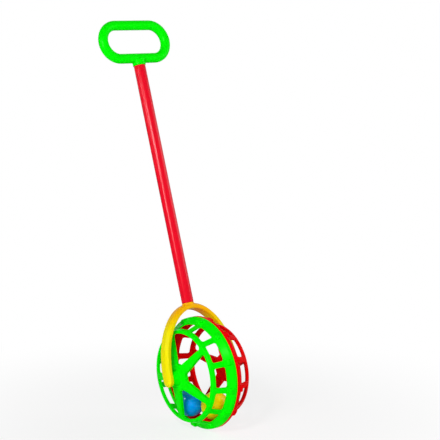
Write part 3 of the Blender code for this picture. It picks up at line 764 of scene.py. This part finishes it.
# Painted shade: the crown's deeper amber, and the heights over which the arms' yellow turns into it.
YELLOW_ARMS = (238, 226, 5)
SHADED_AMBER_CROWN = (250, 182, 8)
CROWN_SHADE_FROM_SHARE = 0.62
CROWN_SHADE_TO_SHARE = 0.94


def half_arm_section():
    """(across, rise) from the middle of the raised panel round one edge to the middle of the back."""
    wide, thick = ARM_HALF_WIDTH, ARM_HALF_THICKNESS
    corners = (
        (Vector((0.0, thick)), 0.0),
        (Vector((wide - ARM_BEVEL_ACROSS, thick)), ARM_BEVEL_ROUND),
        (Vector((wide, thick - ARM_BEVEL_DEPTH)), ARM_BEVEL_ROUND),
        (Vector((wide, -thick)), ARM_BACK_ROUND),
        (Vector((0.0, -thick)), 0.0),
    )
    return softened([corner for corner, _ in corners], [radius for _, radius in corners], ARC_STEPS)


def arm_mesh():
    half = half_arm_section()
    whole = half + [Vector((-spot.x, spot.y)) for spot in reversed(half[1:-1])]
    work = bmesh.new()
    path = [(Vector((-ARCH_HALF_SPAN, -ARM_END_DROP)), Vector((-1.0, 0.0)))]
    for index in range(ARCH_STEPS + 1):
        angle = math.pi * (1.0 - index / ARCH_STEPS)
        centre = Vector((ARCH_HALF_SPAN * math.cos(angle), ARCH_HEIGHT * math.sin(angle)))
        out = Vector((ARCH_HEIGHT * math.cos(angle), ARCH_HALF_SPAN * math.sin(angle)))
        path.append((centre, out.normalized()))
    path.append((Vector((ARCH_HALF_SPAN, -ARM_END_DROP)), Vector((1.0, 0.0))))
    rows = []
    for centre, out in path:
        row = []
        for spot in whole:
            row.append(Vector((centre.x + out.x * spot.y, spot.x, centre.y + out.y * spot.y)))
        rows.append(row)
    sheet(work, rows, ring=True)
    for sense in (-1.0, 1.0):
        rows = []
        for index in range(TIP_STEPS + 1):
            turn = math.pi * index / TIP_STEPS
            row = []
            for spot in half:
                drop = -ARM_END_DROP - spot.x * math.sin(turn)
                row.append(Vector((sense * (ARCH_HALF_SPAN + spot.y), spot.x * math.cos(turn), drop)))
            rows.append(row)
        sheet(work, rows)
    bmesh.ops.remove_doubles(work, verts=work.verts, dist=FINE_WELD)
    return plain_mesh("arch", work)


def turned_mesh(levels, outline_of, axis_turn):
    """A solid of rings along Z, closed at both ends; each level is (height, radius)."""
    rows = []
    for height, radius in levels:
        rows.append([Vector((x, y, height)) for x, y in outline_of(radius)])
    rows.insert(0, [Vector((0.0, 0.0, levels[0][0]))] * len(rows[0]))
    rows.append([Vector((0.0, 0.0, levels[-1][0]))] * len(rows[0]))
    work = bmesh.new()
    sheet(work, rows, ring=True)
    bmesh.ops.remove_doubles(work, verts=work.verts, dist=FINE_WELD)
    work.transform(axis_turn)
    return plain_mesh("turned", work)


def round_outline(radius):
    return [(radius * math.cos(angle), radius * math.sin(angle)) for angle in full_turn(TURNED_STEPS)]


def ribbed_outline(radius):
    points = []
    for angle in full_turn(TURNED_STEPS):
        valley = 0.5 + 0.5 * math.cos(PLUG_RIBS * angle)
        own = radius - PLUG_VALLEY * valley ** 2
        points.append((own * math.cos(angle), own * math.sin(angle)))
    return points


def softened_levels(corners, radii):
    """(height, radius) levels of a turned solid, with round corners."""
    spots = softened([Vector(corner) for corner in corners], radii, ARC_STEPS)
    return [(spot.x, spot.y) for spot in spots]


def plug_mesh(base, tip):
    radius = TUBE_RADIUS - TUBE_WALL - SEAM_GAP
    toward = 1.0 if tip > base else -1.0
    levels = [(base, radius), (tip - toward * PLUG_CHAMFER, radius), (tip, radius - PLUG_CHAMFER)]
    return turned_mesh(levels, ribbed_outline, Matrix.Identity(4))


def pin_mesh(sense):
    foot = ARCH_HALF_SPAN - ARM_HALF_THICKNESS + PIN_ROOT
    shoulder = HUB_NOSE.x + SEAM_GAP
    corners = (
        (foot, 0.0),
        (foot, PIN_SHOULDER_RADIUS),
        (shoulder, PIN_SHOULDER_RADIUS),
        (shoulder, PIN_RADIUS),
        (PIN_END, PIN_RADIUS),
        (PIN_END, 0.0),
    )
    levels = softened_levels(corners, (0.0, 0.0, LAP_ROUND, 0.0, PIN_NOSE, 0.0))
    return turned_mesh(levels, round_outline, Matrix.Rotation(sense * math.pi / 2.0, 4, "Y"))


def amber_plastic_material():
    """Amber plastic with painted shade: a deeper amber over the crown, yellower towards the arms' tips."""
    material = moulded_plastic("amber moulded plastic", colour_of(*SHADED_AMBER_CROWN))
    tree = material.node_tree
    where = tree.nodes.new("ShaderNodeTexCoord")
    split = tree.nodes.new("ShaderNodeSeparateXYZ")
    # Painted shade: higher up the arch the colour turns from the arms' yellow to a deeper amber at the
    # crown.
    rise = tree.nodes.new("ShaderNodeMapRange")
    rise.interpolation_type = "SMOOTHSTEP"
    rise.inputs["From Min"].default_value = AXLE.z + CROWN_SHADE_FROM_SHARE * ARCH_HEIGHT
    rise.inputs["From Max"].default_value = AXLE.z + CROWN_SHADE_TO_SHARE * ARCH_HEIGHT
    blend = tree.nodes.new("ShaderNodeMix")
    blend.data_type = "RGBA"
    blend.inputs[6].default_value = colour_of(*YELLOW_ARMS)
    blend.inputs[7].default_value = colour_of(*SHADED_AMBER_CROWN)
    surface = next(node for node in tree.nodes if node.type == "GROUP")
    tree.links.new(where.outputs["Object"], split.inputs["Vector"])
    tree.links.new(split.outputs["Z"], rise.inputs["Value"])
    tree.links.new(rise.outputs["Result"], blend.inputs["Factor"])
    tree.links.new(blend.outputs[2], surface.inputs["Colour"])
    return material


leant = on_axle @ Matrix.Rotation(math.radians(-LEAN_DEG), 4, "X")
amber_plastic = amber_plastic_material()
seat_foot = SEAT_TOP - SEAT_ROOT
seat_levels = softened_levels(
    ((seat_foot, 0.0), (seat_foot, SEAT_RADIUS), (SEAT_TOP, SEAT_RADIUS), (SEAT_TOP, 0.0)),
    (0.0, 0.0, SEAT_ROUND, 0.0),
)
fork_shells = [
    arm_mesh(),
    turned_mesh(seat_levels, round_outline, Matrix.Identity(4)),
    plug_mesh(SEAT_TOP - SEAT_ROOT / 2.0, SEAT_TOP + PLUG_LENGTH),
    pin_mesh(-1.0),
    pin_mesh(1.0),
]
fork = finished("fork_moulding", fork_shells, leant, amber_plastic)
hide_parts("fork")
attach(fork, "handle")


# Shaft: a thin-walled extruded tube of red plastic, cut square at both ends, with faint draw lines
# along it. It is pushed over the fork's plug and takes the hand loop's plug at its top.

TUBE_TOP = 0.4402
TUBE_ROUND = 0.0003
DRAW_LINE_SCALE = 900.0
DRAW_LINE_STRETCH = 0.012
DRAW_LINE_DETAIL = 2.0
DRAW_LINE_STRENGTH = 0.6
DRAW_LINE_DEPTH = 0.00003


def tube_mesh():
    bore = TUBE_RADIUS - TUBE_WALL
    foot = SEAT_TOP + SEAM_GAP
    corners = ((foot, bore), (foot, TUBE_RADIUS), (TUBE_TOP, TUBE_RADIUS), (TUBE_TOP, bore))
    section = softened([Vector(corner) for corner in corners], [TUBE_ROUND] * len(corners), ARC_STEPS)
    section.append(section[0])
    rows = [[Vector((x, y, spot.x)) for x, y in round_outline(spot.y)] for spot in section]
    work = bmesh.new()
    sheet(work, rows, ring=True)
    return plain_mesh("tube", work)


def add_draw_lines(material):
    """Fine lines along the leaning tube, where the plastic was drawn through its die."""
    tree = material.node_tree
    where = tree.nodes.new("ShaderNodeTexCoord")
    along = tree.nodes.new("ShaderNodeMapping")
    along.inputs["Rotation"].default_value = (math.radians(LEAN_DEG), 0.0, 0.0)
    along.inputs["Scale"].default_value = (1.0, 1.0, DRAW_LINE_STRETCH)
    lines = tree.nodes.new("ShaderNodeTexNoise")
    lines.inputs["Scale"].default_value = DRAW_LINE_SCALE
    lines.inputs["Detail"].default_value = DRAW_LINE_DETAIL
    ridges = tree.nodes.new("ShaderNodeBump")
    ridges.inputs["Strength"].default_value = DRAW_LINE_STRENGTH
    ridges.inputs["Distance"].default_value = DRAW_LINE_DEPTH
    shader = tree.nodes["Principled BSDF"]
    peel = shader.inputs["Normal"].links[0].from_socket
    tree.links.new(where.outputs["Object"], along.inputs["Vector"])
    tree.links.new(along.outputs["Vector"], lines.inputs["Vector"])
    tree.links.new(lines.outputs["Fac"], ridges.inputs["Height"])
    tree.links.new(peel, ridges.inputs["Normal"])
    tree.links.new(ridges.outputs["Normal"], shader.inputs["Normal"])


tube_red_plastic = moulded_plastic(
    "red extruded plastic", colour_of(228, 2, 34), gloss=0.22, mottle=0.05, scuff=0.01, specular=0.12
)
add_draw_lines(tube_red_plastic)
tube = finished("push_tube_shell", [tube_mesh()], leant, tube_red_plastic)
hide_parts("push_tube")
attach(tube, "handle")


# Hand loop: a round bar of green plastic bent to a rounded oblong, with a short flared collar moulded
# on its lower side. The collar's ribbed plug is pressed into the top of the tube.

LOOP_CENTRE = 0.4754
LOOP_HALF_STRAIGHT = 0.0290
LOOP_END_RADIUS = 0.0242
LOOP_BAR_RADIUS = 0.00694
LOOP_BEND_STEPS = 40
LOOP_BAR_STEPS = 40
COLLAR_RADIUS = 0.0091
COLLAR_FLARE_RADIUS = 0.0104
COLLAR_FLARE_HEIGHT = 0.0045
COLLAR_ROOT = 0.0075
COLLAR_ROUND = 0.0006


def bent_bar_tree():
    """A round bar that follows a rectangle with round ends."""
    tree = bpy.data.node_groups.new("bent round bar", "GeometryNodeTree")
    tree.interface.new_socket("Geometry", in_out="INPUT", socket_type="NodeSocketGeometry")
    for label in ("Width", "Height", "Bend Radius", "Bar Radius"):
        tree.interface.new_socket(label, in_out="INPUT", socket_type="NodeSocketFloat")
    for label in ("Bend Steps", "Bar Steps"):
        tree.interface.new_socket(label, in_out="INPUT", socket_type="NodeSocketInt")
    tree.interface.new_socket("Material", in_out="INPUT", socket_type="NodeSocketMaterial")
    tree.interface.new_socket("Geometry", in_out="OUTPUT", socket_type="NodeSocketGeometry")
    node, link = tree.nodes.new, tree.links.new
    entry = node("NodeGroupInput")
    frame_line = node("GeometryNodeCurvePrimitiveQuadrilateral")
    link(entry.outputs["Width"], frame_line.inputs["Width"])
    link(entry.outputs["Height"], frame_line.inputs["Height"])
    bend = node("GeometryNodeFilletCurve")
    bend.mode = "POLY"
    link(frame_line.outputs["Curve"], bend.inputs["Curve"])
    link(entry.outputs["Bend Radius"], bend.inputs["Radius"])
    link(entry.outputs["Bend Steps"], bend.inputs["Count"])
    circle = node("GeometryNodeCurvePrimitiveCircle")
    link(entry.outputs["Bar Radius"], circle.inputs["Radius"])
    link(entry.outputs["Bar Steps"], circle.inputs["Resolution"])
    sweep = node("GeometryNodeCurveToMesh")
    link(bend.outputs["Curve"], sweep.inputs["Curve"])
    link(circle.outputs["Curve"], sweep.inputs["Profile Curve"])
    real = node("GeometryNodeRealizeInstances")
    link(sweep.outputs["Mesh"], real.inputs["Geometry"])
    dress = node("GeometryNodeSetMaterial")
    link(real.outputs["Geometry"], dress.inputs["Geometry"])
    link(entry.outputs["Material"], dress.inputs["Material"])
    link(dress.outputs["Geometry"], node("NodeGroupOutput").inputs["Geometry"])
    return tree


loop_sizes = {
    "Width": 2.0 * (LOOP_HALF_STRAIGHT + LOOP_END_RADIUS),
    "Height": 2.0 * LOOP_END_RADIUS,
    "Bend Radius": LOOP_END_RADIUS - WELD,
    "Bar Radius": LOOP_BAR_RADIUS,
    "Bend Steps": LOOP_BEND_STEPS,
    "Bar Steps": LOOP_BAR_STEPS,
    "Material": green_plastic,
}
bar = grown(bpy.data.meshes.new("loop bar"), bent_bar_tree(), loop_sizes)
bar.transform(Matrix.Translation((0.0, 0.0, LOOP_CENTRE)) @ Matrix.Rotation(math.pi / 2.0, 4, "X"))
collar_foot = TUBE_TOP + SEAM_GAP
bar_low = LOOP_CENTRE - LOOP_END_RADIUS - LOOP_BAR_RADIUS
collar_levels = softened_levels(
    (
        (collar_foot, 0.0),
        (collar_foot, COLLAR_RADIUS),
        (bar_low, COLLAR_RADIUS),
        (bar_low + COLLAR_FLARE_HEIGHT, COLLAR_FLARE_RADIUS),
        (bar_low + COLLAR_ROOT, COLLAR_RADIUS - COLLAR_FLARE_HEIGHT),
        (bar_low + COLLAR_ROOT, 0.0),
    ),
    (0.0, COLLAR_ROUND, COLLAR_FLARE_HEIGHT, COLLAR_ROUND, 0.0, 0.0),
)
loop_shells = [
    bar,
    turned_mesh(collar_levels, round_outline, Matrix.Identity(4)),
    plug_mesh(collar_foot + COLLAR_ROUND, TUBE_TOP - PLUG_LENGTH),
]
loop = finished("grip_loop_moulding", loop_shells, leant, green_plastic)
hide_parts("grip_loop")
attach(loop, "handle")


# Studio: a pale floor that keeps the wheel's soft shadow, a white room, four soft lamps, two that leave
# only the stripe on the tube and the blue ball's glint, and the camera at the photograph's place.

IMAGE_PIXELS = 440
FOCAL_PIXELS = 1354.0
SENSOR_MM = 36.0
CAMERA_SPOT = Vector((-1.1223, -1.4269, 0.5835))
CAMERA_FORWARD = Vector((0.6209, 0.7676, -0.1586))
CAMERA_RIGHT = Vector((0.7776, -0.6288, 0.0006))
FLOOR_RADIUS = 6.0
FLOOR_NEAR = 0.15
FLOOR_FAR = 0.55
FLOOR_GLOW_NEAR = 0.8
FLOOR_ROUGHNESS = 0.9
FLOOR_TINT_SCALE = 3.0
FLOOR_TINTS = ((0.90, 0.90, 0.90, 1.0), (0.94, 0.94, 0.94, 1.0))
ROOM_FILL = 0.15
LAMP_TARGET = Vector((0.0, 0.04, 0.22))

floor_work = bmesh.new()
bmesh.ops.create_circle(floor_work, cap_ends=True, segments=TURNED_STEPS, radius=FLOOR_RADIUS)
floor_mesh = plain_mesh("studio floor", floor_work)
floor_material = bpy.data.materials.new("pale studio floor")
floor_material.use_nodes = True
floor_tree = floor_material.node_tree
floor_shader = floor_tree.nodes["Principled BSDF"]
floor_shader.inputs["Roughness"].default_value = FLOOR_ROUGHNESS
floor_shader.inputs["Specular IOR Level"].default_value = 0.0
floor_tint = floor_tree.nodes.new("ShaderNodeTexNoise")
floor_tint.inputs["Scale"].default_value = FLOOR_TINT_SCALE
floor_ramp = floor_tree.nodes.new("ShaderNodeValToRGB")
for stop, floor_colour in zip(floor_ramp.color_ramp.elements, FLOOR_TINTS):
    stop.color = floor_colour
floor_tree.links.new(floor_tint.outputs["Fac"], floor_ramp.inputs["Fac"])
floor_tree.links.new(floor_ramp.outputs["Color"], floor_shader.inputs["Base Color"])
floor_glow = floor_tree.nodes.new("ShaderNodeEmission")
floor_path = floor_tree.nodes.new("ShaderNodeLightPath")
floor_where = floor_tree.nodes.new("ShaderNodeTexCoord")
floor_away = floor_tree.nodes.new("ShaderNodeVectorMath")
floor_away.operation = "LENGTH"
floor_fade = floor_tree.nodes.new("ShaderNodeMapRange")
floor_fade.interpolation_type = "SMOOTHSTEP"
floor_fade.inputs["From Min"].default_value = FLOOR_NEAR
floor_fade.inputs["From Max"].default_value = FLOOR_FAR
floor_fade.inputs["To Min"].default_value = FLOOR_GLOW_NEAR
floor_tree.links.new(floor_where.outputs["Object"], floor_away.inputs[0])
floor_tree.links.new(floor_away.outputs["Value"], floor_fade.inputs["Value"])
floor_share = floor_tree.nodes.new("ShaderNodeMath")
floor_share.operation = "MULTIPLY"
floor_tree.links.new(floor_fade.outputs["Result"], floor_share.inputs[1])
floor_mix = floor_tree.nodes.new("ShaderNodeMixShader")
floor_tree.links.new(floor_path.outputs["Is Camera Ray"], floor_share.inputs[0])
floor_tree.links.new(floor_share.outputs["Value"], floor_mix.inputs["Fac"])
floor_tree.links.new(floor_shader.outputs["BSDF"], floor_mix.inputs[1])
floor_tree.links.new(floor_glow.outputs["Emission"], floor_mix.inputs[2])
floor_tree.links.new(floor_mix.outputs["Shader"], floor_tree.nodes["Material Output"].inputs["Surface"])
floor_mesh.materials.append(floor_material)
floor = bpy.data.objects.new("studio_floor", floor_mesh)
bpy.context.scene.collection.objects.link(floor)

room = bpy.data.worlds.new("white room")
bpy.context.scene.world = room
room.use_nodes = True
room_tree = room.node_tree
room_light = room_tree.nodes["Background"]
room_light.inputs["Color"].default_value = (1.0, 1.0, 1.0, 1.0)
room_path = room_tree.nodes.new("ShaderNodeLightPath")
room_seen = room_tree.nodes.new("ShaderNodeMath")
room_seen.operation = "MAXIMUM"
room_seen_all = room_tree.nodes.new("ShaderNodeMath")
room_seen_all.operation = "MAXIMUM"
room_strength = room_tree.nodes.new("ShaderNodeMapRange")
room_strength.inputs["To Min"].default_value = ROOM_FILL
room_strength.inputs["To Max"].default_value = 1.0
room_tree.links.new(room_path.outputs["Is Camera Ray"], room_seen.inputs[0])
room_tree.links.new(room_path.outputs["Is Glossy Ray"], room_seen.inputs[1])
room_tree.links.new(room_seen.outputs["Value"], room_seen_all.inputs[0])
room_tree.links.new(room_path.outputs["Is Transmission Ray"], room_seen_all.inputs[1])
room_tree.links.new(room_seen_all.outputs["Value"], room_strength.inputs["Value"])
room_tree.links.new(room_strength.outputs["Result"], room_light.inputs["Strength"])

camera_up = CAMERA_RIGHT.cross(CAMERA_FORWARD).normalized()
for lamp_name, right, up, back, width, height, power, diffuse, gloss in (
    ("front lamp", 0.02, 0.10, 2.20, 0.30, 0.30, 8.5, True, False),
    ("key lamp", -0.40, 0.60, 1.40, 0.20, 0.20, 9.2, True, True),
    ("left lamp", -0.72, 0.25, 1.45, 0.12, 0.90, 7.5, True, False),
    ("tube stripe", -0.83, 0.34, 1.40, 0.10, 0.84, 27.0, False, True),
    ("ball glint", -0.95, 0.48, 0.60, 0.26, 0.26, 3.0, False, True),
    ("right lamp", 1.30, 0.50, -0.20, 0.80, 0.80, 8.5, True, True),
):
    lamp_data = bpy.data.lights.new(lamp_name, "AREA")
    lamp_data.shape = "RECTANGLE"
    lamp_data.size = width
    lamp_data.size_y = height
    lamp_data.energy = power
    lamp = bpy.data.objects.new(lamp_name, lamp_data)
    lamp.visible_camera = False
    lamp.visible_diffuse = diffuse
    lamp.visible_glossy = gloss
    lamp.location = LAMP_TARGET + CAMERA_RIGHT * right + camera_up * up - CAMERA_FORWARD * back
    lamp.rotation_euler = (LAMP_TARGET - lamp.location).to_track_quat("-Z", "Y").to_euler()
    bpy.context.scene.collection.objects.link(lamp)

camera_data = bpy.data.cameras.new("photo camera")
camera_data.sensor_width = SENSOR_MM
camera_data.lens = FOCAL_PIXELS / IMAGE_PIXELS * SENSOR_MM
camera = bpy.data.objects.new("photo camera", camera_data)
camera_turn = Matrix((CAMERA_RIGHT, camera_up, -CAMERA_FORWARD)).transposed()
camera.matrix_world = Matrix.Translation(CAMERA_SPOT) @ camera_turn.to_4x4()
bpy.context.scene.collection.objects.link(camera)
bpy.context.scene.camera = camera
bpy.context.scene.view_settings.view_transform = "Standard"
